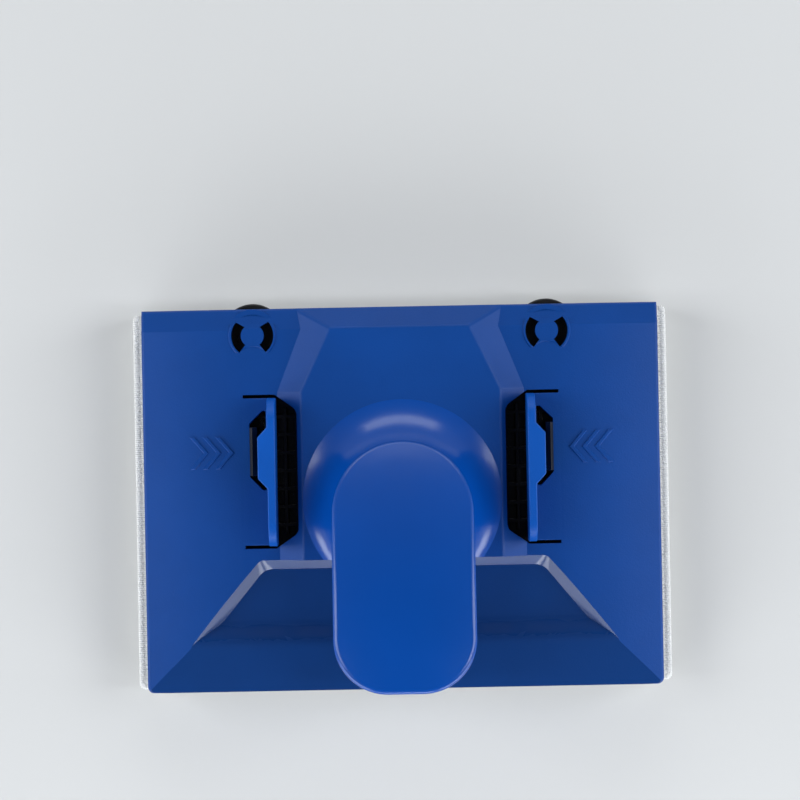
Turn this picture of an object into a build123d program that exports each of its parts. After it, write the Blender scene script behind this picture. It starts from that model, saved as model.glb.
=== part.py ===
"""Paint pad edger: a moulded body with guide wheels, two squeeze tabs and a drop-off pad.

Millimetres. X runs across the tool, Y towards the edge with the guide wheels, Z up from
the painting face of the pad at z = 0.
"""

import math
import os

from build123d import *

os.makedirs("parts", exist_ok=True)

# Heights above the painting face
pile_top = 3.2
foam_top = 8.4
carrier_top = 10.0
body_bottom = 10.3
panel_edge_top = 15.5
panel_top = 17.5
deck_top = 21.5
dome_top = 28.5

# Body plan
half_width = 61.0
flat_half_width = 38.0
body_front = 45.3
body_rear = -45.0
front_bevel_depth = 5.0
front_bevel_drop = 1.7
wall = 2.0
corner_radius = 1.5
plate_round = 0.7

# Central deck: a raised trapezoid that narrows towards the front
deck_half_width = 23.5
deck_front_half_width = 16.3
deck_front = 40.5
deck_shoulder = 25.5
deck_flare = 5.6
deck_skin = 2.2
deck_round = 1.4
dome_hole_radius = 19.0
deck_hole_width = 28.0
deck_hole_rear = -11.0

# Rear scoop under the handle
scoop_front = -14.0
scoop_half_width = 33.8
scoop_front_floor = 15.6
scoop_floor = 15.0
scoop_front_run = 2.7
scoop_side_run = 3.55
scoop_upper_corner = 2.0
scoop_lower_corner = 5.0
scoop_rise_start = -27.5
scoop_crest = -34.6
scoop_crest_top = 16.8
scoop_strip_rear_top = 15.5
scoop_skin = 1.6
past_rear = body_rear - 6.0

# Guide wheels and the snap posts they turn on
wheel_x = 34.7
wheel_y = 39.0
wheel_radius = 7.6
wheel_bottom = 10.6
wheel_top = 13.4
post_radius = 2.5
post_bottom = 8.9
running_clearance = 0.06
barb_width = 2.2
barb_reach = 0.8
barb_top = 10.3
slot_inner_radius = 2.7
slot_outer_radius = 5.0
slot_rear_half_angle = 52
slot_front_slope = 29
slot_front_apex = 1.1
wheel_gap = 0.4
thrust_ring_width = 1.2
thrust_gap = 0.3
seat_radius = 5.75
seat_notch_radius = 4.7
seat_notch_y = -7.46
seat_corner = 0.8

# Squeeze tabs
hinge_x = 36.9
hinge_z = 16.5
hinge_radius = 1.0
slit_front = 24.65
slit_rear = -10.85
slit_half_width = 0.4
opening_inner = 24.5
opening_chamfer_x = 29.8
opening_chamfer_y = 3.7
opening_corner = 2.5
tab_wall_inner = 29.4
tab_wall_outer = 31.3
tab_wall_top = 30.0
tab_wall_corner = 6.2
latch_reach = 33.5
latch_bottom = 18.6
latch_top = 22.0
grip_pad_bottom = 25.6
latch_rear = 5.5
latch_front = 15.1
latch_shoulder = 2.9
window_rear = 2.6
window_front = 21.2
window_outer = 35.8
window_inner = 31.9
window_chamfer = 3.1

# Raised chevrons that point at the tabs
chevron_count = 3
chevron_pitch = 3.0
chevron_tip_x = 39.2
chevron_y = 11.5
chevron_half_height = 4.0
chevron_depth = 3.4
chevron_line = 1.7
chevron_foot = 17.375
chevron_tilt = 3.0

# Raised marks have sloped sides and stand from just inside the plate
relief_depth = 0.42
relief_taper = 42
seat_foot = 17.38

# Handle
handle_half_width = 16.5
handle_centre_y = -2.7
handle_rear = -44.0
handle_corner = 12.5
handle_skin = 2.2
handle_crown = 1.8
grip_top = 46.2
grip_fall = 17.6
grip_curve = 2.2
grip_section_step = 8.0
grip_section_count = 9
dome_sections = ((deck_top, 23.4, 0.0), (24.5, 19.0, -1.4), (dome_top, handle_half_width, handle_centre_y))
rim_radius = 1.2
web_thickness = 2.2
rib_positions = (-21.5, -29.5, -37.5)
rib_thickness = 1.4

# Pad and its carrier
pad_half_width = 63.5
pad_half_length = 44.6
foam_inset = 0.8
carrier_half_width = 60.6
carrier_half_length = 44.2
pad_corner = 1.2
grid_top = 12.4
grid_line = 0.9
grid_inner = 20.5
grid_width = 14.0
grid_rear = -8.0
grid_length = 30.0
grid_long_lines = 5
grid_cross_lines = 7
upright_inner = 34.0
upright_outer = 35.5
upright_rear = 6.1
upright_front = 17.4
upright_top = 25.0
nose_bottom = 22.6
nose_reach = 0.15
post_clearance_radius = 4.4

SIDES = {"left": -1, "right": 1}


def plate_section(y, half, top, edge, bottom):
    """Cross section of the plate at y: a flat middle and side panels that curve down outwards."""
    bow_x = (flat_half_width + half) / 2
    bow_z = edge + 0.7 * (top - edge)
    with BuildSketch(Plane.XZ.offset(-y)) as section:
        with BuildLine():
            ThreePointArc((-half, edge), (-bow_x, bow_z), (-flat_half_width, top))
            Line((-flat_half_width, top), (flat_half_width, top))
            ThreePointArc((flat_half_width, top), (bow_x, bow_z), (half, edge))
            Polyline((half, edge), (half, bottom), (-half, bottom), (-half, edge))
        make_face()
    return section.sketch


def is_rim(edge, half, front, rear, bottom):
    """Whether an edge lies on the outside of the plate, above its foot."""
    centre = edge.center()
    outside = max(abs(centre.X) - half, centre.Y - front, rear - centre.Y) > -corner_radius
    return outside and edge.bounding_box().min.Z > bottom + 0.5


def plate_block(inset, drop, bottom):
    """The plate as a solid: cambered side panels, a bevel along the front and a rounded rim."""
    half = half_width - inset
    rear = body_rear + inset
    front = body_front - inset
    bevel_start = body_front - front_bevel_depth
    top = panel_top - drop
    edge = panel_edge_top - drop
    rear_section = plate_section(rear, half, top, edge, bottom)
    bevel_section = plate_section(bevel_start, half, top, edge, bottom)
    front_section = plate_section(front, half, top - front_bevel_drop, edge - front_bevel_drop, bottom)
    with BuildPart() as block:
        extrude(rear_section, amount=-(bevel_start - rear))
        loft(sections=[bevel_section, front_section], ruled=True)
        with BuildSketch(Plane.XY.offset(bottom)):
            with Locations((0, (front + rear) / 2)):
                RectangleRounded(2 * half, front - rear, corner_radius)
        extrude(amount=30.0, mode=Mode.INTERSECT)
        rim = block.edges().filter_by(lambda edge: is_rim(edge, half, front, rear, bottom))
        fillet(rim, plate_round)
    return block.part


def deck_block(drop):
    """The raised deck: sloped sides and front with rounded edges."""
    foot = panel_top - 3.0
    spread = deck_flare * (deck_top - foot) / (deck_top - panel_top)
    top = [
        (-deck_half_width, scoop_front), (-deck_half_width, deck_shoulder),
        (-deck_front_half_width, deck_front), (deck_front_half_width, deck_front),
        (deck_half_width, deck_shoulder), (deck_half_width, scoop_front),
    ]
    base = [(x + spread * (1 if x > 0 else -1), y) for x, y in top]
    base = [(x, body_front + 1.0 if y == deck_front else y) for x, y in base]
    with BuildPart() as block:
        with BuildSketch(Plane.XY.offset(foot - drop)):
            Polygon(*base, align=None)
        with BuildSketch(Plane.XY.offset(deck_top - drop)):
            Polygon(*top, align=None)
        loft(ruled=True)
        slopes = block.edges().filter_by(
            lambda edge: edge.bounding_box().max.Z > foot - drop + 0.1 and edge.center().Y > scoop_front + 0.1
        )
        fillet(slopes, deck_round)
    return block.part


def scoop_plan(half, front, rear_half, rear, corner):
    """A plan of the scoop at one level: it widens to the rear and has two rounded corners."""
    with BuildSketch() as plan:
        Polygon((-half, front), (half, front), (rear_half, rear), (-rear_half, rear), align=None)
        front_corners = plan.vertices().sort_by(Axis.Y)[-2:]
        fillet(front_corners, corner)
    return plan.sketch


def scoop_floor_profile(drop):
    """Side view of what stays under the floor: it sinks, lifts to a crest and falls to the rear."""
    front = (scoop_front, scoop_front_floor - drop)
    lowest = (scoop_rise_start, scoop_floor - drop)
    crest = (scoop_crest, scoop_crest_top - drop)
    rear = (body_rear, scoop_strip_rear_top - drop)
    foot = scoop_floor - drop - 3.0
    with BuildSketch(Plane.YZ) as profile:
        with BuildLine():
            Line(front, lowest)
            Spline(lowest, crest, tangents=((-1, -0.04), (-1, -0.09)))
            Spline(crest, rear, tangents=((-1, -0.09), (-1, -0.15)))
            Polyline(rear, (past_rear, rear[1]), (past_rear, foot), (scoop_front, foot), front)
        make_face()
    return profile.sketch


def scoop_block(drop):
    """The space cut for the fingers, with sloped walls, and the strip along the rear edge."""
    slope = (half_width - scoop_half_width) / (scoop_front - body_rear)
    rear_half = scoop_half_width + slope * (scoop_front - past_rear)
    front_inset = scoop_half_width + slope * scoop_front_run - scoop_side_run
    lower = scoop_plan(
        front_inset, scoop_front - scoop_front_run, rear_half - scoop_side_run, past_rear, scoop_lower_corner
    )
    upper = scoop_plan(scoop_half_width, scoop_front, rear_half, past_rear, scoop_upper_corner)
    lower = Pos(0, 0, scoop_floor - drop) * lower
    upper = Pos(0, 0, panel_top - drop) * upper
    with BuildPart() as block:
        loft(sections=[lower, upper], ruled=True)
        extrude(upper, amount=12.0)
        with BuildSketch(Plane.XY.offset(scoop_floor - drop)):
            with Locations((0, scoop_crest)):
                Rectangle(2 * rear_half, scoop_crest - past_rear, align=(Align.CENTER, Align.MAX))
        extrude(amount=12.0)
        extrude(scoop_floor_profile(drop), amount=rear_half + 5.0, both=True, mode=Mode.SUBTRACT)
    return block.part


def opening_sketch(side):
    """Plan of a tab opening: two slits that widen into a chamfered hole beside the deck."""
    front = slit_front + slit_half_width
    rear = slit_rear - slit_half_width
    points = [
        (side * hinge_x, front), (side * opening_chamfer_x, front),
        (side * opening_inner, front - opening_chamfer_y), (side * opening_inner, rear + opening_chamfer_y),
        (side * opening_chamfer_x, rear), (side * hinge_x, rear),
    ]
    Polygon(*points, align=None)


def chevrons(side):
    """Nested raised arrow lines that point at a tab, laid along the slope of the side panel."""
    lean = math.radians(chevron_tilt)
    panel = Plane(
        origin=(side * chevron_tip_x, chevron_y, chevron_foot),
        x_dir=(side * math.cos(lean), 0, -math.sin(lean)),
        z_dir=(side * math.sin(lean), 0, math.cos(lean)),
    )
    with BuildPart() as arrows:
        for index in range(chevron_count):
            tip = index * chevron_pitch
            tail = tip + chevron_depth
            with BuildSketch(panel):
                Polygon(
                    (tip, 0), (tail, -chevron_half_height), (tail + chevron_line, -chevron_half_height),
                    (tip + chevron_line, 0), (tail + chevron_line, chevron_half_height),
                    (tail, chevron_half_height), align=None,
                )
            extrude(amount=relief_depth, taper=relief_taper)
    return arrows.part


def wheel_seat(side):
    """The raised flat round a pair of slots, notched at the rear; it runs out at the front bevel."""
    with BuildPart() as seat:
        with BuildSketch(Plane.XY.offset(seat_foot)) as plan:
            with Locations((side * wheel_x, wheel_y)):
                Circle(seat_radius)
            with Locations((side * wheel_x, wheel_y + seat_notch_y)):
                Circle(seat_notch_radius, mode=Mode.SUBTRACT)
            fillet(plan.vertices(), seat_corner)
        extrude(amount=relief_depth, taper=relief_taper)
    return seat.part & Pos(0, 0, relief_depth) * plate_outer


def tab_opening(side):
    """What is cut out of the plate for one tab: the opening and a round groove for the hinge."""
    front = slit_front + slit_half_width
    rear = slit_rear - slit_half_width
    with BuildPart() as cut:
        with BuildSketch(Plane.XY.offset(body_bottom)) as plan:
            opening_sketch(side)
            inner = plan.vertices().filter_by(lambda corner: abs(abs(corner.X) - opening_inner) < 0.01)
            fillet(inner, opening_corner)
        extrude(amount=20.0)
        with BuildSketch(Plane.XZ.offset(-rear)):
            with Locations((side * hinge_x, hinge_z)):
                Circle(hinge_radius + running_clearance)
        extrude(amount=-(front - rear))
    return cut.part


def slot_sketch():
    """A pair of curved slots, with a bridge of plate left in front and one behind."""
    reach = 2 * slot_outer_radius
    spread = reach / math.tan(math.radians(slot_rear_half_angle))
    rise = slot_front_apex + reach * math.tan(math.radians(slot_front_slope))
    Circle(slot_outer_radius)
    Circle(slot_inner_radius, mode=Mode.SUBTRACT)
    Polygon((0, 0), (spread, -reach), (-spread, -reach), align=None, mode=Mode.SUBTRACT)
    Polygon(
        (0, slot_front_apex), (reach, rise), (reach, 2 * reach), (-reach, 2 * reach), (-reach, rise),
        align=None, mode=Mode.SUBTRACT,
    )


def wheel_cutout(side):
    """What is cut out for one wheel: its window in the front skirt and the slots above the barbs."""
    with BuildPart() as cut:
        with BuildSketch(Plane.XY.offset(body_bottom - 1.0)):
            with Locations((side * wheel_x, wheel_y)):
                Circle(wheel_radius + 0.5)
        extrude(amount=wheel_top + wheel_gap - body_bottom + 1.0)
        with BuildSketch(Plane.XY.offset(wheel_top)):
            with Locations((side * wheel_x, wheel_y)):
                slot_sketch()
        extrude(amount=8.0)
    return cut.part


def snap_post(side):
    """The post a wheel turns on: shaft, two barbs under the wheel and a thrust ring above it."""
    root = panel_top - 1.0
    with BuildPart() as post:
        with Locations((side * wheel_x, wheel_y, post_bottom)):
            Cylinder(post_radius, root - post_bottom, align=(Align.CENTER, Align.CENTER, Align.MIN))
            Box(
                2 * (post_radius + barb_reach), barb_width, barb_top - post_bottom,
                align=(Align.CENTER, Align.CENTER, Align.MIN),
            )
        with BuildSketch(Plane.XY.offset(wheel_top + thrust_gap)):
            with Locations((side * wheel_x, wheel_y)):
                Circle(slot_outer_radius + thrust_ring_width)
                Circle(slot_outer_radius, mode=Mode.SUBTRACT)
        extrude(amount=root - wheel_top - thrust_gap)
    return post.part


def plate_cavity():
    """The hollow underside of plate and deck, kept inside the outer wall."""
    length = body_front - body_rear
    middle = Pos(0, (body_front + body_rear) / 2, 0)
    inside_box = middle * Box(2 * (half_width - wall), length - 2 * wall, 60.0)
    hollow = plate_block(wall, wall, body_bottom - 2.0) + deck_block(deck_skin)
    return (hollow - Pos(0, wall, 0) * scoop_block(scoop_skin)) & inside_box


plate_outer = plate_block(0.0, 0.0, body_bottom)
deck_outer = deck_block(0.0)
scoop_outer = scoop_block(0.0)
cavity = plate_cavity()
plate_limit = Pos(0, (body_front + body_rear) / 2, 0) * Box(2 * half_width, body_front - body_rear, 60.0)
reliefs = [relief(side) for relief in (chevrons, wheel_seat) for side in SIDES.values()]
cutouts = [cut(side) for cut in (tab_opening, wheel_cutout) for side in SIDES.values()]
posts = [snap_post(side) for side in SIDES.values()]

with BuildPart() as base_plate:
    add(plate_outer)
    add(deck_outer)
    add(plate_limit, mode=Mode.INTERSECT)
    add(scoop_outer, mode=Mode.SUBTRACT)
    add(cavity, mode=Mode.SUBTRACT)
    with BuildSketch(Plane.XY.offset(body_bottom)):
        Circle(dome_hole_radius)
        Rectangle(60.0, 60.0, align=(Align.CENTER, Align.MAX), mode=Mode.SUBTRACT)
        Rectangle(deck_hole_width, -2 * deck_hole_rear)
    extrude(amount=20.0, mode=Mode.SUBTRACT)
    add(reliefs)
    add(cutouts, mode=Mode.SUBTRACT)
    add(posts)


def handle_plan(inset):
    """Plan outline of the grip: a half-round front end and a rounded rear end."""
    half = handle_half_width - inset
    rear = handle_rear + inset
    with BuildSketch() as plan:
        with Locations((0, handle_centre_y)):
            Circle(half)
            Rectangle(2 * half, handle_centre_y - rear, align=(Align.CENTER, Align.MAX))
        rear_corners = plan.vertices().sort_by(Axis.Y)[:2]
        fillet(rear_corners, handle_corner - inset)
    return plan.sketch


def grip_block(inset, drop):
    """The crowned grip, rising in a curve to the rear, as a solid down to the deck top."""
    half = handle_half_width + 3.0
    with BuildPart() as grip:
        for index in range(grip_section_count):
            along = index / (grip_section_count - 1)
            crest = grip_top - drop - grip_fall * along ** grip_curve
            edge = crest - handle_crown
            with BuildSketch(Plane.XZ.offset(-(handle_rear - 4.0 + index * grip_section_step))):
                with BuildLine():
                    ThreePointArc((-half, edge), (0, crest), (half, edge))
                    Polyline((half, edge), (half, deck_top), (-half, deck_top), (-half, edge))
                make_face()
        loft()
        with BuildSketch(Plane.XY.offset(deck_top)):
            add(handle_plan(inset))
        extrude(amount=40.0, mode=Mode.INTERSECT)
    return grip.part


def dome_block(inset):
    """The round skirt that carries the front of the grip, cut off square at the scoop."""
    with BuildPart() as dome:
        for z, radius, y in dome_sections:
            with BuildSketch(Plane.XY.offset(z)):
                with Locations((0, y)):
                    Circle(radius - inset)
        loft()
        with BuildSketch(Plane.XY.offset(deck_top)):
            with Locations((0, scoop_front + inset)):
                Rectangle(60.0, 60.0, align=(Align.CENTER, Align.MIN))
        extrude(amount=40.0, mode=Mode.INTERSECT)
    return dome.part


def handle_hollow():
    """The inside of the dome and grip, open below and divided by a web and ribs."""
    grip_inside = grip_block(handle_skin, handle_skin)
    dome_inside = dome_block(handle_skin)
    with BuildPart() as hollow:
        add(grip_inside)
        add(dome_inside)
        with Locations((0, scoop_front + web_thickness / 2, 40.0)):
            Box(60.0, web_thickness, 60.0, mode=Mode.SUBTRACT)
        for y in rib_positions:
            with Locations((0, y, 40.0)):
                Box(60.0, rib_thickness, 60.0, mode=Mode.SUBTRACT)
    return hollow.part


grip = grip_block(0.0, 0.0)
dome = dome_block(0.0)
hollow = handle_hollow()

with BuildPart() as handle:
    add(grip)
    with BuildSketch(Plane.YZ):
        with BuildLine():
            Line((scoop_front, 10.0), (scoop_front, 25.0))
            Spline(
                (scoop_front, 25.0), (-19.0, 31.0), (-48.0, 37.6),
                tangents=((0, 1), (-1, 0.2)),
            )
            Polyline((-48.0, 37.6), (-48.0, 10.0), (scoop_front, 10.0))
        make_face()
    extrude(amount=40.0, both=True, mode=Mode.SUBTRACT)
    rim = handle.faces().sort_by(Axis.Z)[-1].edges()
    fillet(rim, rim_radius)
    add(dome)
    add(hollow, mode=Mode.SUBTRACT)


def tab_outline(side):
    """Side view of a finger wall: straight foot, rounded top corners."""
    length = slit_front - slit_rear - 2 * slit_half_width
    height = tab_wall_top - panel_top + 1.0
    with BuildSketch(Plane.YZ.offset(side * tab_wall_inner)) as outline:
        with Locations(((slit_front + slit_rear) / 2, panel_top - 1.0)):
            Rectangle(length, height, align=(Align.CENTER, Align.MIN))
        fillet(outline.vertices().sort_by(Axis.Y)[-2:], tab_wall_corner)
    return outline.sketch


def squeeze_tab(side):
    """Flap with a rounded hinge edge, a window and a finger wall that carries latch and grip pad."""
    front = slit_front - slit_half_width
    rear = slit_rear + slit_half_width
    wall_outline = tab_outline(side)
    with BuildPart() as tab:
        with BuildSketch(Plane.XY.offset(hinge_z - hinge_radius)):
            Polygon(
                (side * tab_wall_inner, rear), (side * hinge_x, rear),
                (side * hinge_x, front), (side * tab_wall_inner, front), align=None,
            )
        extrude(amount=2 * hinge_radius)
        with BuildSketch(Plane.XZ.offset(-rear)):
            with Locations((side * hinge_x, hinge_z)):
                Circle(hinge_radius)
        extrude(amount=-(front - rear))
        with BuildSketch(Plane.XY.offset(panel_edge_top - 2.0)):
            Polygon(
                (side * window_inner, window_rear), (side * window_inner, window_front),
                (side * (window_outer - window_chamfer), window_front),
                (side * window_outer, window_front - window_chamfer),
                (side * window_outer, window_rear + window_chamfer),
                (side * (window_outer - window_chamfer), window_rear), align=None,
            )
        extrude(amount=8.0, mode=Mode.SUBTRACT)
        extrude(wall_outline, amount=side * (tab_wall_outer - tab_wall_inner))
        for bottom, top in ((latch_bottom, latch_top), (grip_pad_bottom, tab_wall_top)):
            with BuildSketch(Plane.XY.offset(bottom)):
                Polygon(
                    (side * (tab_wall_outer - 0.5), latch_rear - latch_shoulder),
                    (side * latch_reach, latch_rear), (side * latch_reach, latch_front),
                    (side * (tab_wall_outer - 0.5), latch_front + latch_shoulder), align=None,
                )
            extrude(amount=top - bottom)
    return tab.part


squeeze_tabs = {name: squeeze_tab(side) for name, side in SIDES.items()}


def guide_wheel(side):
    """Flat disc with a rounded rim and a bore that runs on the snap post."""
    with BuildPart() as wheel:
        with BuildSketch(Plane.XY.offset(wheel_bottom)):
            with Locations((side * wheel_x, wheel_y)):
                Circle(wheel_radius)
        extrude(amount=wheel_top - wheel_bottom)
        fillet(wheel.edges(), 0.5)
        with BuildSketch(Plane.XY.offset(wheel_bottom)):
            with Locations((side * wheel_x, wheel_y)):
                Circle(post_radius + running_clearance)
        extrude(amount=wheel_top - wheel_bottom, mode=Mode.SUBTRACT)
    return wheel.part


guide_wheels = {name: guide_wheel(side) for name, side in SIDES.items()}

with BuildPart() as pad_carrier:
    with BuildSketch(Plane.XY.offset(foam_top)):
        RectangleRounded(2 * carrier_half_width, 2 * carrier_half_length, pad_corner)
        for side in SIDES.values():
            with Locations((side * wheel_x, wheel_y)):
                Circle(post_clearance_radius, mode=Mode.SUBTRACT)
    extrude(amount=carrier_top - foam_top)
    for side in SIDES.values():
        # Ribbed top under each tab opening
        with BuildSketch(Plane.XY.offset(carrier_top - 0.2)):
            with Locations((side * (grid_inner + grid_width / 2), grid_rear + grid_length / 2)):
                with GridLocations(grid_width / grid_long_lines, 0, grid_long_lines, 1):
                    Rectangle(grid_line, grid_length)
                with GridLocations(0, grid_length / grid_cross_lines, 1, grid_cross_lines):
                    Rectangle(grid_width, grid_line)
        extrude(amount=grid_top - carrier_top + 0.2)
        # Upright that stands in the tab window, with a nose over the latch barb
        with BuildSketch(Plane.XZ.offset(-upright_rear)):
            Polygon(
                (side * upright_inner, carrier_top - 0.2), (side * upright_outer, carrier_top - 0.2),
                (side * upright_outer, upright_top - 1.0), (side * (upright_outer - 0.6), upright_top),
                (side * (upright_inner - nose_reach), nose_bottom + 0.8),
                (side * (upright_inner - nose_reach), nose_bottom),
                (side * upright_inner, nose_bottom), align=None,
            )
        extrude(amount=-(upright_front - upright_rear))

with BuildPart() as pad_foam:
    with BuildSketch(Plane.XY.offset(pile_top)):
        RectangleRounded(2 * (pad_half_width - foam_inset), 2 * (pad_half_length - foam_inset), pad_corner)
    extrude(amount=foam_top - pile_top)

with BuildPart() as pad_pile:
    with BuildSketch():
        RectangleRounded(2 * pad_half_width, 2 * pad_half_length, pad_corner)
    extrude(amount=pile_top)

nodes = {
    "base_plate": base_plate.part,
    "handle": handle.part,
    "pad_carrier": pad_carrier.part,
    "pad_foam": pad_foam.part,
    "pad_pile": pad_pile.part,
}
for name in SIDES:
    nodes[f"squeeze_tab_{name}"] = squeeze_tabs[name]
    nodes[f"guide_wheel_{name}"] = guide_wheels[name]
for name, shape in nodes.items():
    shape.label = name
    export_step(shape, f"parts/{name}.step")
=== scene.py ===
"""Paint pad edger in Blender: moulded plastic parts finished from the CAD frame, and a flocked pad."""

import math
import random

import bmesh
import bpy
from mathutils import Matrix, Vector, noise


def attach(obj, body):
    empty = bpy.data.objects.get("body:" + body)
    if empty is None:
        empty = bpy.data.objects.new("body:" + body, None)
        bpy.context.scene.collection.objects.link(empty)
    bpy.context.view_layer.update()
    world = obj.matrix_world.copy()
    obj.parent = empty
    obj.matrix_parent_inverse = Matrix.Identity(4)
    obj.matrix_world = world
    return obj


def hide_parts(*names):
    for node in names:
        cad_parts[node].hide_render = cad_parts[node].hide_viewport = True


MM = 0.001

# Camera above the tool (mm), and the tool's slight turn in the picture (degrees)
CAMERA_AT = (-0.15, 23.2, 866.0)
CAMERA_TURN = -1.1
LENS = 162.0
SENSOR = 36.0

# Colours (linear)
BLUE = (0.0006, 0.046, 0.235)
GRIP_BLUE = (0.0006, 0.054, 0.3)
# Painted shade: a darker copy of the plate's blue for the scoop's floor and walls, which lie in shade under
# the grip
SCOOP_SHADE_BLUE = (0.0005, 0.031, 0.15)
# Painted light: a lighter copy of the plate's blue for the tabs' finger walls, where the light falls on
# them
LIT_WALL_BLUE = (0.0006, 0.075, 0.38)
BLACK = (0.006, 0.006, 0.0065)
PILE_WHITE = (0.86, 0.86, 0.84)
FOAM_WHITE = (0.62, 0.63, 0.62)
FLOOR_COLOUR = (0.6, 0.6, 0.59)
LIGHT_TINT = (0.92, 0.955, 1.0)

# Rounding of the moulded edges (mm)
CARRIER_ROUNDING = 0.12
TAB_ROUNDING = 0.2
WHEEL_ROUNDING = 0.1
ROUNDING_SEGMENTS = 3
WELD_GAP = 0.002

# Angles between faces (degrees): shaded as a crease, rounded, and flat enough to join
CREASE_ANGLE = 32
ROUNDED_ANGLE = 28
FLAT_ANGLE = 0.6

# The living hinges of the two tabs (mm), and the skin of plastic over each
HINGE_X = 36.9
HINGE_SPAN = (-10.45, 24.25)
HINGE_LOW = 15.0
HINGE_REACH = 1.3
HINGE_END = 0.5
SKIN_WIDTH = 1.6
SKIN_BOTTOM = 17.4
SKIN_TOP = 17.505
SKIN_OUTER_TOP = 17.49
SKIN_BREAK = 0.45
FINGER_WALL_FOOT = 17.7

# The rear scoop (mm), which widens towards the rear by the spread
SCOOP_FRONT = -14.0
SCOOP_HALF_WIDTH = 33.8
SCOOP_SPREAD = 0.877
SCOOP_TOP = 17.45
SCOOP_WALL_WIDTH = 3.0

# Reach of the points that the scoop floor's slope is fitted to, and their least spread (mm)
SLOPE_WINDOW = 0.6
SLOPE_SPREAD = 0.2

# Parts of a face's unit normal: least upward part, least lean of a scoop wall, lean of the panels
FACING_UP = 0.6
WALL_LEAN = 0.3
PANEL_LEAN = 0.04

# Material slots of the plate and of a tab
PANEL, SCOOP_WALL, SCOOP_FLOOR = range(3)
FLAP, FINGER_WALL = range(2)

# Pad sizes (mm); the foam's waves are per metre
PILE_HALF = (63.5, 44.6)
PILE_CORNER = 1.2
PILE_TOP = 3.2
BACKING_BOTTOM = 2.5
BACKING_INSET = 0.7
BACKING_EDGE = (0.25, 0.12)
BACKING_STEP = 1.2
FOAM_HALF = (62.7, 43.8)
FOAM_CORNER = 2.4
FOAM_TOP = 8.4
FOAM_RIM = 0.35
FOAM_STEP = 0.7
FOAM_WANDER = 0.2
FOAM_WAVES = 220.0

# The field of tuft ends under the pad (mm), with its bumps per millimetre and slice of the noise
FIELD_STEP = 0.8
FIELD_INSET = 1.9
FIELD_HEIGHT = 0.28
FIELD_RELIEF = 0.24
FIELD_BUMPS = 1.9
FIELD_SLICE = 3.0
FIELD_RIM = 0.3
FIELD_LAP = 0.5

# Tufts round the rim of the pile (mm)
TUFT_PITCH = 0.62
TUFT_RADIUS = 0.3
TUFT_SIDES = 6
TUFT_ROWS = 3
TUFT_ROW_STEP = 0.7
TUFT_ROW_DROP = 0.12
TUFT_DROP = (0.15, 0.4)
TUFT_INSET = 0.7
TUFT_LEAN = 0.18
TUFT_FLARE = 0.12
TUFT_TIP = 0.02

# Ribbed fabric edge and the cloth behind it (mm)
RIB_HALF = (63.28, 44.38)
RIB_PITCH = 0.47
RIB_RADIUS = 0.22
RIB_NOTCH = 0.17
RIB_TOP = 8.4
RIB_SIDES = 6
RIB_SWAY = 0.05
LINING_OUTSIDE = 0.1
LINING_INSIDE = 0.5
LINING_REACH = 2.3
LINING_THICKNESS = 0.15

# Stray fibres (mm)
STRAY_FIBRES = 900
STRAY_RADIUS = 0.045
STRAY_PARTS = 4
STRAY_SIDES = 3
STRAY_ROOT = 0.3
STRAY_LOWEST = 0.08

# Studio floor (m)
FLOOR_HALF = 3.0


# ---------------------------------------------------------------- materials
def new_material(name):
    """A new material with its node tree and its Principled shader."""
    material = bpy.data.materials.new(name)
    material.use_nodes = True
    tree = material.node_tree
    return material, tree, tree.nodes["Principled BSDF"]


def link(tree, start, end):
    """Joins an output socket to an input socket."""
    tree.links.new(start, end)


def object_noise(tree, scale, detail=2.0, roughness=0.5, distortion=0.0):
    """Noise in the piece's own coordinates; scale is in features per metre."""
    coordinates = tree.nodes.new("ShaderNodeTexCoord")
    texture = tree.nodes.new("ShaderNodeTexNoise")
    texture.inputs["Scale"].default_value = scale
    texture.inputs["Detail"].default_value = detail
    texture.inputs["Roughness"].default_value = roughness
    texture.inputs["Distortion"].default_value = distortion
    link(tree, coordinates.outputs["Object"], texture.inputs["Vector"])
    return texture


def ramp(tree, source, stops):
    """A colour ramp over a factor, from (position, colour) stops."""
    node = tree.nodes.new("ShaderNodeValToRGB")
    elements = node.color_ramp.elements
    for index, (position, colour) in enumerate(stops):
        element = elements[index] if index < 2 else elements.new(position)
        element.position = position
        element.color = (*colour, 1.0)
    link(tree, source, node.inputs["Fac"])
    return node


def value_range(tree, source, low, high):
    """A factor from 0 to 1 mapped on to low to high."""
    node = tree.nodes.new("ShaderNodeMapRange")
    node.inputs["To Min"].default_value = low
    node.inputs["To Max"].default_value = high
    link(tree, source, node.inputs["Value"])
    return node.outputs["Result"]


def bump(tree, height, distance, strength):
    """A bumped normal; distance is in metres."""
    node = tree.nodes.new("ShaderNodeBump")
    node.inputs["Strength"].default_value = strength
    node.inputs["Distance"].default_value = distance
    link(tree, height, node.inputs["Height"])
    return node.outputs["Normal"]


def shade(colour, factor):
    """The colour scaled by a factor."""
    return tuple(channel * factor for channel in colour)


def grained_plastic(name, colour):
    """Moulded plastic with a fine spark-eroded grain."""
    material, tree, shader = new_material(name)
    grain = object_noise(tree, 2600.0, detail=3.0, roughness=0.6)
    cloud = object_noise(tree, 45.0, detail=4.0, roughness=0.55)
    colours = ramp(tree, cloud.outputs["Fac"], [(0.3, shade(colour, 0.93)), (0.7, shade(colour, 1.06))])
    link(tree, colours.outputs["Color"], shader.inputs["Base Color"])
    link(tree, value_range(tree, grain.outputs["Fac"], 0.34, 0.48), shader.inputs["Roughness"])
    relief = bump(tree, grain.outputs["Fac"], distance=0.00005, strength=0.7)
    link(tree, relief, shader.inputs["Normal"])
    shader.inputs["Specular IOR Level"].default_value = 0.22
    return material


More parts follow.
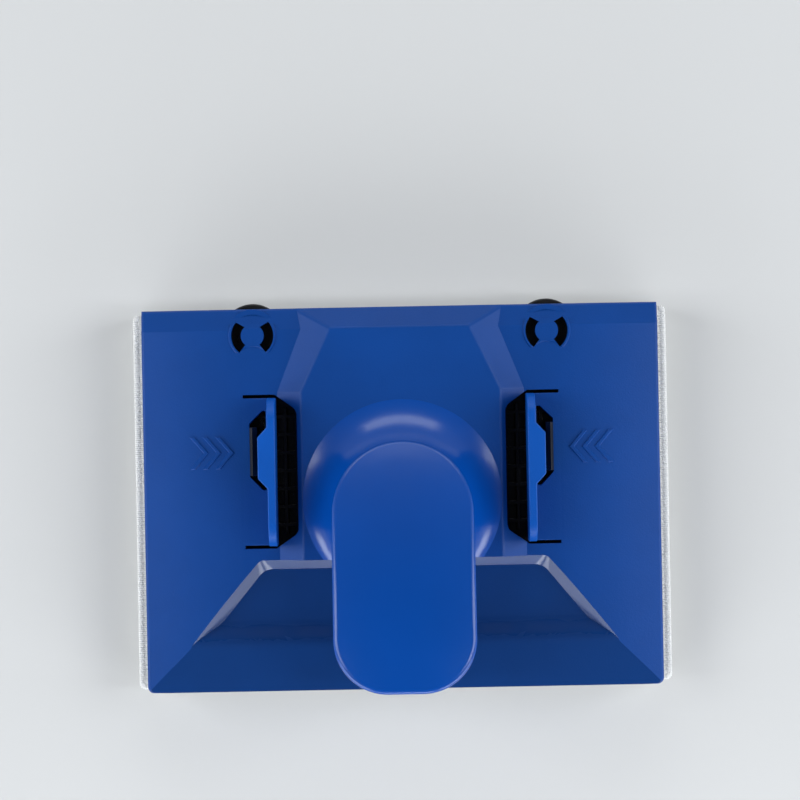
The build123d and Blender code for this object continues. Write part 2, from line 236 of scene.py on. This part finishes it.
def polished_plastic(name, colour):
    """Glossy moulded plastic, with faint handling marks and a slight moulding ripple."""
    material, tree, shader = new_material(name)
    cloud = object_noise(tree, 38.0, detail=3.0)
    marks = object_noise(tree, 420.0, detail=6.0, roughness=0.7, distortion=1.5)
    colours = ramp(tree, cloud.outputs["Fac"], [(0.3, shade(colour, 0.95)), (0.7, shade(colour, 1.05))])
    link(tree, colours.outputs["Color"], shader.inputs["Base Color"])
    link(tree, value_range(tree, marks.outputs["Fac"], 0.13, 0.27), shader.inputs["Roughness"])
    relief = bump(tree, cloud.outputs["Fac"], distance=0.0003, strength=0.25)
    link(tree, relief, shader.inputs["Normal"])
    return material


def black_plastic():
    """Black moulded plastic with soft flow marks."""
    material, tree, shader = new_material("black_plastic")
    flow = object_noise(tree, 160.0, detail=4.0, distortion=0.8)
    grain = object_noise(tree, 2200.0, detail=2.0)
    colours = ramp(tree, flow.outputs["Fac"], [(0.3, shade(BLACK, 0.7)), (0.75, shade(BLACK, 1.6))])
    link(tree, colours.outputs["Color"], shader.inputs["Base Color"])
    link(tree, value_range(tree, flow.outputs["Fac"], 0.22, 0.38), shader.inputs["Roughness"])
    relief = bump(tree, grain.outputs["Fac"], distance=0.00004, strength=0.6)
    link(tree, relief, shader.inputs["Normal"])
    shader.inputs["Specular IOR Level"].default_value = 0.35
    return material


def pile_fabric():
    """White nylon pile: off-white fibres with a soft sheen."""
    material, tree, shader = new_material("white_pile")
    fibre = object_noise(tree, 1800.0, detail=4.0, roughness=0.7)
    patch = object_noise(tree, 90.0, detail=3.0)
    colours = ramp(tree, fibre.outputs["Fac"], [(0.25, shade(PILE_WHITE, 0.78)), (0.7, PILE_WHITE)])
    link(tree, colours.outputs["Color"], shader.inputs["Base Color"])
    link(tree, value_range(tree, patch.outputs["Fac"], 0.75, 0.95), shader.inputs["Roughness"])
    relief = bump(tree, fibre.outputs["Fac"], distance=0.0002, strength=0.8)
    link(tree, relief, shader.inputs["Normal"])
    shader.inputs["Sheen Weight"].default_value = 0.35
    return material


def foam_rubber():
    """Open-cell foam: pale, with small pores."""
    material, tree, shader = new_material("pale_foam")
    coordinates = tree.nodes.new("ShaderNodeTexCoord")
    cells = tree.nodes.new("ShaderNodeTexVoronoi")
    cells.inputs["Scale"].default_value = 1400.0
    link(tree, coordinates.outputs["Object"], cells.inputs["Vector"])
    colours = ramp(tree, cells.outputs["Distance"], [(0.1, shade(FOAM_WHITE, 0.6)), (0.45, FOAM_WHITE)])
    link(tree, colours.outputs["Color"], shader.inputs["Base Color"])
    shader.inputs["Roughness"].default_value = 0.92
    relief = bump(tree, cells.outputs["Distance"], distance=0.0003, strength=0.9)
    link(tree, relief, shader.inputs["Normal"])
    return material


def floor_paint():
    """Pale matt backdrop with the faintest mottling."""
    material, tree, shader = new_material("pale_floor")
    cloud = object_noise(tree, 6.0, detail=3.0)
    colours = ramp(tree, cloud.outputs["Fac"], [(0.3, shade(FLOOR_COLOUR, 0.985)), (0.7, FLOOR_COLOUR)])
    link(tree, colours.outputs["Color"], shader.inputs["Base Color"])
    shader.inputs["Roughness"].default_value = 0.85
    return material


# ---------------------------------------------------------------- meshes
def object_from(name, vertices, faces, material):
    """A smooth-shaded mesh object from millimetre points."""
    mesh = bpy.data.meshes.new(name)
    mesh.from_pydata([tuple(c * MM for c in v) for v in vertices], [], faces)
    mesh.validate()
    mesh.materials.append(material)
    for polygon in mesh.polygons:
        polygon.use_smooth = True
    piece = bpy.data.objects.new(name, mesh)
    bpy.context.scene.collection.objects.link(piece)
    return piece


def face_outwards(mesh):
    """Turns the faces of a closed mesh outwards."""
    work = bmesh.new()
    work.from_mesh(mesh)
    bmesh.ops.recalc_face_normals(work, faces=work.faces)
    work.to_mesh(mesh)
    work.free()


# ---------------------------------------------------------------- hard parts
def is_sharp(edge):
    """Whether two faces meet at a clear angle, away from the living hinges."""
    middle = (edge.verts[0].co + edge.verts[1].co) / 2
    on_hinge = (
        abs(abs(middle.x) - HINGE_X * MM) < HINGE_REACH * MM
        and (HINGE_SPAN[0] - HINGE_END) * MM < middle.y < (HINGE_SPAN[1] + HINGE_END) * MM
        and middle.z > HINGE_LOW * MM
    )
    return edge.calc_face_angle(0.0) > math.radians(ROUNDED_ANGLE) and not on_hinge


def round_edges(piece, bevel):
    """Welds a piece and rounds its sharp edges by bevel millimetres."""
    mesh = piece.data
    work = bmesh.new()
    work.from_mesh(mesh)
    bmesh.ops.remove_doubles(work, verts=work.verts, dist=WELD_GAP * MM)
    bmesh.ops.dissolve_limit(
        work, angle_limit=math.radians(FLAT_ANGLE), verts=work.verts, edges=work.edges,
        use_dissolve_boundaries=False,
    )
    weight = work.edges.layers.float.new("bevel_weight_edge")
    for edge in work.edges:
        edge[weight] = 1.0 if len(edge.link_faces) == 2 and is_sharp(edge) else 0.0
    for face in work.faces:
        face.smooth = True
    work.to_mesh(mesh)
    work.free()
    mesh.set_sharp_from_angle(angle=math.radians(CREASE_ANGLE))
    rounding = piece.modifiers.new("edge_round", "BEVEL")
    rounding.width = bevel * MM
    rounding.segments = ROUNDING_SEGMENTS
    rounding.limit_method = "WEIGHT"
    rounding.use_clamp_overlap = False
    even = piece.modifiers.new("even_normals", "WEIGHTED_NORMAL")
    even.keep_sharp = True
    even.weight = 80


def plate_finish(face):
    """Which of the plate's materials a face takes: grained panel, smooth scoop wall or scoop floor; the
    scoop wall and floor are painted shade, a darker blue for the shade under the grip.
    """
    place = face.center / MM
    normal = face.normal
    reach = SCOOP_HALF_WIDTH + SCOOP_SPREAD * (SCOOP_FRONT - place.y)
    within = place.y < SCOOP_FRONT and abs(place.x) < reach and place.z < SCOOP_TOP
    if not within or normal.z < FACING_UP:
        return PANEL
    if abs(normal.y) > WALL_LEAN:
        return SCOOP_WALL
    well_inside = abs(place.x) < reach - SCOOP_WALL_WIDTH
    return SCOOP_FLOOR if well_inside or abs(normal.x) < PANEL_LEAN else PANEL


def tab_finish(face):
    """Which of a tab's materials a face takes: the flap's, or the finger wall's above it, a lighter blue
    that paints the light falling on the wall.
    """
    return FINGER_WALL if face.center.z > FINGER_WALL_FOOT * MM else FLAP


def paint_faces(mesh, materials, finish):
    """Gives a mesh its materials; finish says which of them a face takes, the first if it is None."""
    mesh.materials.clear()
    for material in materials:
        mesh.materials.append(material)
    for face in mesh.polygons:
        face.material_index = finish(face) if finish else 0


def finished_copy(frame, node, body, materials, bevel=0.0, finish=None):
    """A copy of a CAD node in its final materials, with small rounded edges if bevel isn't zero."""
    mesh = frame["nodes"][node].data.copy()
    piece = bpy.data.objects.new(node + "_finish", mesh)
    bpy.context.scene.collection.objects.link(piece)
    if bevel:
        round_edges(piece, bevel)
    paint_faces(mesh, materials, finish)
    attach(piece, body)
    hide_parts(node)
    return piece


def floor_slope(points, y):
    """Slope of the scoop floor at y, fitted to the (y, z) points near it, or None if they lie too close."""
    near = [point for point in points if abs(point[0] - y) < SLOPE_WINDOW * MM]
    middle_y = sum(point[0] for point in near) / len(near)
    middle_z = sum(point[1] for point in near) / len(near)
    spread = sum((point[0] - middle_y) ** 2 for point in near)
    if spread < (SLOPE_SPREAD * MM) ** 2:
        return None
    return sum((py - middle_y) * (pz - middle_z) for py, pz in near) / spread


def even_scoop_floor(mesh):
    """Shades the curved scoop floor evenly across its width: its normals only lean front to back."""
    normals = [corner.vector.copy() for corner in mesh.corner_normals]
    floor_faces = [face for face in mesh.polygons if face.material_index == SCOOP_FLOOR]
    corners = [corner for face in floor_faces for corner in face.loop_indices]
    places = {corner: mesh.vertices[mesh.loops[corner].vertex_index].co for corner in corners}
    points = sorted({(round(place.y, 6), round(place.z, 6)) for place in places.values()})
    for corner, place in places.items():
        slope = floor_slope(points, place.y)
        if slope is not None:
            normals[corner] = Vector((0.0, -slope, 1.0)).normalized()
    mesh.normals_split_custom_set(normals)


def hinge_skins(material):
    """The thin skin of plastic that joins each flap to the plate, flush with both."""
    inner, outer = HINGE_X - SKIN_WIDTH / 2, HINGE_X + SKIN_WIDTH / 2
    section = (
        (inner, SKIN_BOTTOM), (inner, SKIN_TOP), (HINGE_X + SKIN_BREAK, SKIN_TOP),
        (outer, SKIN_OUTER_TOP), (outer, SKIN_BOTTOM),
    )
    count = len(section)
    faces = [(i, (i + 1) % count, count + (i + 1) % count, count + i) for i in range(count)]
    faces.append(tuple(reversed(range(count))))
    faces.append(tuple(range(count, 2 * count)))
    for name, side in (("left", -1), ("right", 1)):
        vertices = [(side * x, y, z) for y in HINGE_SPAN for x, z in section]
        piece = object_from(f"hinge_skin_{name}", vertices, faces, material)
        piece.data.set_sharp_from_angle(angle=math.radians(CREASE_ANGLE))
        face_outwards(piece.data)
        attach(piece, "shell")


def finish_hard_parts(frame):
    """Gives every plastic node its finished copy and material."""
    grained = grained_plastic("grained_blue_plastic", BLUE)
    # The finger walls take a lighter blue: painted light on the walls
    lit_wall_blue = grained_plastic("finger_wall_lit_plastic", LIT_WALL_BLUE)
    polished = polished_plastic("polished_blue_plastic", GRIP_BLUE)
    # The scoop's wall and floor take a darker blue: painted shade under the grip
    scoop_wall_shade = polished_plastic("scoop_wall_shade_plastic", SCOOP_SHADE_BLUE)
    scoop_floor_shade = grained_plastic("scoop_floor_shade_plastic", SCOOP_SHADE_BLUE)
    black = black_plastic()
    plate = finished_copy(
        frame, "base_plate", "shell", [grained, scoop_wall_shade, scoop_floor_shade],
        finish=plate_finish,
    )
    even_scoop_floor(plate.data)
    finished_copy(frame, "handle", "shell", [polished])
    finished_copy(frame, "pad_carrier", "pad", [black], CARRIER_ROUNDING)
    for side in ("left", "right"):
        finished_copy(
            frame, f"squeeze_tab_{side}", f"tab_{side}", [grained, lit_wall_blue],
            TAB_ROUNDING, tab_finish,
        )
        finished_copy(
            frame, f"guide_wheel_{side}", f"wheel_{side}", [black], WHEEL_ROUNDING,
        )
    hinge_skins(grained)


# ---------------------------------------------------------------- pad
def rounded_outline(half, corner, step):
    """Points about step apart round a rectangle with rounded corners, and their outward normals."""
    hx, hy = half[0] - corner, half[1] - corner
    corners = [(hx, hy, 0), (-hx, hy, 90), (-hx, -hy, 180), (hx, -hy, 270)]
    points = []
    for index, (x, y, start) in enumerate(corners):
        turns = max(2, round(corner * math.pi / 2 / step))
        for turn in range(turns + 1):
            angle = math.radians(start + 90 * turn / turns)
            normal = Vector((math.cos(angle), math.sin(angle)))
            points.append((Vector((x, y)) + corner * normal, normal))
        ahead = corners[(index + 1) % 4]
        angle = math.radians(start + 90)
        normal = Vector((math.cos(angle), math.sin(angle)))
        first = Vector((x, y)) + corner * normal
        last = Vector((ahead[0], ahead[1])) + corner * normal
        count = round((last - first).length / step)
        for place in range(1, count):
            points.append((first.lerp(last, place / count), normal))
    return points


def slab_mesh(half, corner, rings, step, hollow=False):
    """Rounded rectangles of (inset, z) joined into a closed slab, or into a closed band if hollow."""
    vertices = []
    faces = []
    outline = rounded_outline(half, corner, step)
    count = len(outline)
    for inset, z in rings:
        for point, normal in outline:
            place = point - inset * normal
            vertices.append((place.x, place.y, z))
    for ring in range(len(rings) if hollow else len(rings) - 1):
        for index in range(count):
            ahead = (index + 1) % count
            low, high = ring * count, (ring + 1) % len(rings) * count
            faces.append((low + index, low + ahead, high + ahead, high + index))
    if not hollow:
        faces.append(tuple(reversed(range(count))))
        faces.append(tuple(range((len(rings) - 1) * count, len(rings) * count)))
    return vertices, faces


def add_tuft(vertices, faces, root, tip, radius):
    """A short bundle of fibres: a tapering rod with a rounded end, closed at both ends."""
    base = len(vertices)
    sides = TUFT_SIDES
    axis = tip - root
    rings = ((0.0, 0.75), (0.45, 1.0), (0.85, 0.82), (1.0, 0.35))
    for along, width in rings:
        centre = root + along * axis
        for index in range(sides):
            angle = 2 * math.pi * index / sides
            vertices.append((
                centre.x + radius * width * math.cos(angle),
                centre.y + radius * width * math.sin(angle),
                centre.z,
            ))
    for ring in range(len(rings) - 1):
        for index in range(sides):
            ahead = (index + 1) % sides
            low, high = base + ring * sides, base + (ring + 1) * sides
            faces.append((low + index, high + index, high + ahead, low + ahead))
    faces.append(tuple(base + index for index in range(sides)))
    last = base + (len(rings) - 1) * sides
    faces.append(tuple(last + index for index in reversed(range(sides))))


def pile_edge(material):
    """Rows of tufts round the rim of the pad, each leaning a little its own way."""
    chance = random.Random(7)
    vertices = []
    faces = []
    for row in range(TUFT_ROWS):
        inset = TUFT_INSET + row * TUFT_ROW_STEP
        half = (PILE_HALF[0] - inset, PILE_HALF[1] - inset)
        for point, normal in rounded_outline(half, PILE_CORNER, TUFT_PITCH):
            lean = Vector((chance.uniform(-TUFT_LEAN, TUFT_LEAN), chance.uniform(-TUFT_LEAN, TUFT_LEAN)))
            top = PILE_TOP - chance.uniform(*TUFT_DROP) - TUFT_ROW_DROP * row
            end = point + lean + TUFT_FLARE * normal
            root = Vector((point.x, point.y, top))
            tip = Vector((end.x, end.y, TUFT_TIP))
            add_tuft(vertices, faces, root, tip, TUFT_RADIUS * chance.uniform(0.85, 1.12))
    return object_from("pile_edge_tufts", vertices, faces, material)


def pile_body(material):
    """The pile inside the rim: a slab whose painting face is a field of small tuft ends."""
    columns = round(2 * (PILE_HALF[0] - FIELD_INSET) / FIELD_STEP)
    rows = round(2 * (PILE_HALF[1] - FIELD_INSET) / FIELD_STEP)
    vertices = []
    faces = []
    for row in range(rows + 1):
        for column in range(columns + 1):
            x = (column - columns / 2) * FIELD_STEP
            y = (row - rows / 2) * FIELD_STEP
            place = Vector((x * FIELD_BUMPS, y * FIELD_BUMPS, FIELD_SLICE))
            height = FIELD_HEIGHT + FIELD_RELIEF * noise.noise(place)
            inside = 0 < row < rows and 0 < column < columns
            vertices.append((x, y, height if inside else FIELD_RIM))
    stride = columns + 1
    for row in range(rows):
        for column in range(columns):
            first = row * stride + column
            faces.append((first, first + stride, first + stride + 1, first + 1))
    rim = list(range(stride))
    rim += [row * stride + columns for row in range(1, rows + 1)]
    rim += [rows * stride + column for column in range(columns - 1, -1, -1)]
    rim += [row * stride for row in range(rows - 1, 0, -1)]
    top = len(vertices)
    for index in rim:
        x, y, _ = vertices[index]
        vertices.append((x, y, PILE_TOP - FIELD_LAP))
    for place in range(len(rim)):
        ahead = (place + 1) % len(rim)
        faces.append((rim[place], rim[ahead], top + ahead, top + place))
    faces.append(tuple(range(top, top + len(rim))))
    return object_from("pile_body", vertices, faces, material)


def pile_backing(material):
    """The woven backing between pile and foam, its edges eased."""
    half = (PILE_HALF[0] - BACKING_INSET, PILE_HALF[1] - BACKING_INSET)
    back, rise = BACKING_EDGE
    rings = (
        (back, BACKING_BOTTOM), (0.0, BACKING_BOTTOM + rise), (0.0, PILE_TOP - rise), (back, PILE_TOP),
    )
    vertices, faces = slab_mesh(half, PILE_CORNER, rings, BACKING_STEP)
    return object_from("pile_backing", vertices, faces, material)


def add_tube(vertices, faces, path, radii, across, sides):
    """A closed tube through the path's points; across is a direction at right angles to it."""
    base = len(vertices)
    for index, centre in enumerate(path):
        ahead = path[min(index + 1, len(path) - 1)] - path[max(index - 1, 0)]
        other = across.cross(ahead).normalized()
        for corner in range(sides):
            angle = 2 * math.pi * corner / sides
            offset = across * math.cos(angle) + other * math.sin(angle)
            vertices.append(tuple(centre + offset * radii[index]))
    for part in range(len(path) - 1):
        for corner in range(sides):
            ahead = (corner + 1) % sides
            low, high = base + part * sides, base + (part + 1) * sides
            faces.append((low + corner, low + ahead, high + ahead, high + corner))
    faces.append(tuple(base + corner for corner in reversed(range(sides))))
    last = base + (len(path) - 1) * sides
    faces.append(tuple(last + corner for corner in range(sides)))


def fabric_edge(material):
    """The pile fabric's ribbed edge, turned up round the foam and over its rim in two rows."""
    chance = random.Random(5)
    vertices = []
    faces = []
    level = RIB_TOP - RIB_RADIUS
    notch = RIB_NOTCH / RIB_RADIUS
    # Inset, height and share of the radius along each rib
    steps = (
        (2.35, level, 0.7), (2.2, level, 1.0), (1.5, level, 1.0), (1.3, level - 0.05, notch),
        (1.1, level, 1.0), (0.2, level, 1.0), (0.0, level - 0.25, 1.0), (0.0, PILE_TOP + 0.2, 0.9),
    )
    for point, normal in rounded_outline(RIB_HALF, PILE_CORNER, RIB_PITCH):
        sway = chance.uniform(-RIB_SWAY, RIB_SWAY)
        size = RIB_RADIUS * chance.uniform(0.9, 1.08)
        along = Vector((-normal.y, normal.x))
        path = []
        for inset, z, _ in steps:
            place = point - normal * inset + along * sway * inset
            path.append(Vector((place.x, place.y, z)))
        radii = [size * share for _, _, share in steps]
        add_tube(vertices, faces, path, radii, along.to_3d(), RIB_SIDES)
    return object_from("fabric_edge_ribs", vertices, faces, material)


def fabric_lining(material):
    """The cloth behind the ribs: a thin band round the foam, turned over its rim."""
    top = RIB_TOP - RIB_RADIUS
    under = top - LINING_THICKNESS
    rings = (
        (LINING_OUTSIDE, PILE_TOP), (LINING_OUTSIDE, top), (LINING_REACH, top),
        (LINING_REACH, under), (LINING_INSIDE, under), (LINING_INSIDE, PILE_TOP),
    )
    vertices, faces = slab_mesh(RIB_HALF, PILE_CORNER, rings, RIB_PITCH, hollow=True)
    return object_from("fabric_lining", vertices, faces, material)


def stray_fibres(material):
    """Loose fibres that stand out of the rim."""
    chance = random.Random(21)
    outline = rounded_outline((PILE_HALF[0] - 0.4, PILE_HALF[1] - 0.4), PILE_CORNER, 0.5)
    vertices = []
    faces = []
    for _ in range(STRAY_FIBRES):
        point, normal = chance.choice(outline)
        along = Vector((-normal.y, normal.x))
        reach = chance.uniform(0.1, 0.7)
        drift = chance.uniform(-0.7, 0.7)
        z = chance.uniform(0.4, 3.4)
        lift = chance.uniform(-0.3, 0.6)
        path = []
        for part in range(STRAY_PARTS):
            share = part / (STRAY_PARTS - 1)
            place = point + normal * (reach * share - STRAY_ROOT) + along * drift * share * share
            path.append(Vector((place.x, place.y, max(STRAY_LOWEST, z + lift * share))))
        radii = [STRAY_RADIUS * (1 - 0.2 * part) for part in range(STRAY_PARTS)]
        add_tube(vertices, faces, path, radii, along.to_3d(), STRAY_SIDES)
    return object_from("pile_stray_fibres", vertices, faces, material)


def foam_slab(material):
    """The foam layer, its sides drawn in a little and its rim lowered under the fabric edge."""
    rim = FOAM_TOP - FOAM_RIM
    rings = (
        (0.3, PILE_TOP), (0.1, PILE_TOP + 0.35), (0.25, PILE_TOP + 1.6),
        (0.35, (PILE_TOP + FOAM_TOP) / 2), (0.25, FOAM_TOP - 1.6), (0.1, FOAM_TOP - 0.6),
        (0.4, rim), (2.0, rim), (2.1, FOAM_TOP),
    )
    vertices, faces = slab_mesh(FOAM_HALF, FOAM_CORNER, rings, FOAM_STEP)
    piece = object_from("foam_layer", vertices, faces, material)
    for vertex in piece.data.vertices:
        if PILE_TOP + 0.1 < vertex.co.z / MM < FOAM_TOP - 0.5:
            wander = noise.noise(vertex.co * FOAM_WAVES) * FOAM_WANDER * MM
            flat = Vector((vertex.co.x, vertex.co.y, 0.0)).normalized()
            vertex.co -= flat * abs(wander)
    return piece


def build_pad():
    """The flocked pad: pile, backing, rim tufts, ribbed fabric edge and lining, stray fibres and foam."""
    pile = pile_fabric()
    body = pile_body(pile)
    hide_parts("pad_pile")
    foam = foam_slab(foam_rubber())
    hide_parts("pad_foam")
    pieces = [
        body, pile_backing(pile), pile_edge(pile), fabric_edge(pile), fabric_lining(pile),
        stray_fibres(pile),
    ]
    for piece in [*pieces, foam]:
        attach(piece, "pad")


# ---------------------------------------------------------------- studio
def add_floor():
    """A large pale floor under the tool."""
    corners = [(x * FLOOR_HALF, y * FLOOR_HALF, 0.0) for x, y in ((-1, -1), (1, -1), (1, 1), (-1, 1))]
    mesh = bpy.data.meshes.new("floor")
    mesh.from_pydata(corners, [], [(0, 1, 2, 3)])
    mesh.materials.append(floor_paint())
    floor = bpy.data.objects.new("floor", mesh)
    bpy.context.scene.collection.objects.link(floor)


def add_area_light(name, place, aim, size, power):
    """A soft rectangular light at place, facing aim; sizes in metres."""
    data = bpy.data.lights.new(name, "AREA")
    data.shape = "RECTANGLE"
    data.size, data.size_y = size
    data.energy = power
    data.color = LIGHT_TINT
    lamp = bpy.data.objects.new(name, data)
    lamp.location = place
    lamp.rotation_euler = (Vector(aim) - Vector(place)).to_track_quat("-Z", "Y").to_euler()
    bpy.context.scene.collection.objects.link(lamp)


def surround(low, overhead):
    """A surround that fades from its brightness low down to that overhead."""
    world = bpy.data.worlds.new("surround")
    world.use_nodes = True
    tree = world.node_tree
    coordinates = tree.nodes.new("ShaderNodeTexCoord")
    split = tree.nodes.new("ShaderNodeSeparateXYZ")
    fade = tree.nodes.new("ShaderNodeMapRange")
    fade.inputs["From Min"].default_value = 0.2
    fade.inputs["From Max"].default_value = 0.95
    fade.inputs["To Min"].default_value = low
    fade.inputs["To Max"].default_value = overhead
    background = tree.nodes["Background"]
    background.inputs["Color"].default_value = (*LIGHT_TINT, 1.0)
    link(tree, coordinates.outputs["Generated"], split.inputs["Vector"])
    link(tree, split.outputs["Z"], fade.inputs["Value"])
    link(tree, fade.outputs["Result"], background.inputs["Strength"])
    bpy.context.scene.world = world


def light_studio():
    """Soft boxes at both sides and in front, low lights behind, and strips for the grip's rim."""
    aim = (0.0, 0.0, 0.02)
    for name, side, power in (("left", -1, 1.0), ("right", 1, 1.4)):
        add_area_light(f"{name}_box", (0.85 * side, 0.15, 0.6), aim, (0.5, 0.9), 6.0)
        add_area_light(f"{name}_rear_low", (0.5 * side, -0.5, 0.2), aim, (0.6, 0.25), 3.0)
        add_area_light(f"{name}_strip", (0.6 * side, -0.1, 0.85), aim, (0.06, 0.6), power)
    add_area_light("front_box", (0.0, 1.0, 0.45), aim, (1.0, 0.3), 3.0)
    add_area_light("rear_low", (0.0, -0.8, 0.14), aim, (0.4, 0.12), 1.5)
    surround(low=0.5, overhead=0.05)


def place_camera():
    """The camera straight above the tool, turned as the picture shows it."""
    data = bpy.data.cameras.new("camera")
    data.lens = LENS
    data.sensor_width = SENSOR
    data.clip_start = 0.01
    camera = bpy.data.objects.new("camera", data)
    camera.location = [c * MM for c in CAMERA_AT]
    camera.rotation_euler = (0.0, 0.0, math.radians(CAMERA_TURN))
    bpy.context.scene.collection.objects.link(camera)
    bpy.context.scene.camera = camera


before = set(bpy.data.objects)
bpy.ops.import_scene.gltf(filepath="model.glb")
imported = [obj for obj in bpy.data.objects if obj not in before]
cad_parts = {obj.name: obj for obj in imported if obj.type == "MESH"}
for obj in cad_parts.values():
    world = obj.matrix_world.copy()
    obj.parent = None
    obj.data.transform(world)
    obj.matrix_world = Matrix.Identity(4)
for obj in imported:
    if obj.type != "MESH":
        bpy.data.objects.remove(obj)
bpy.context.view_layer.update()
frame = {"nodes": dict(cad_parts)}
finish_hard_parts(frame)
build_pad()
add_floor()
light_studio()
place_camera()
bpy.context.scene.view_settings.view_transform = "Standard"
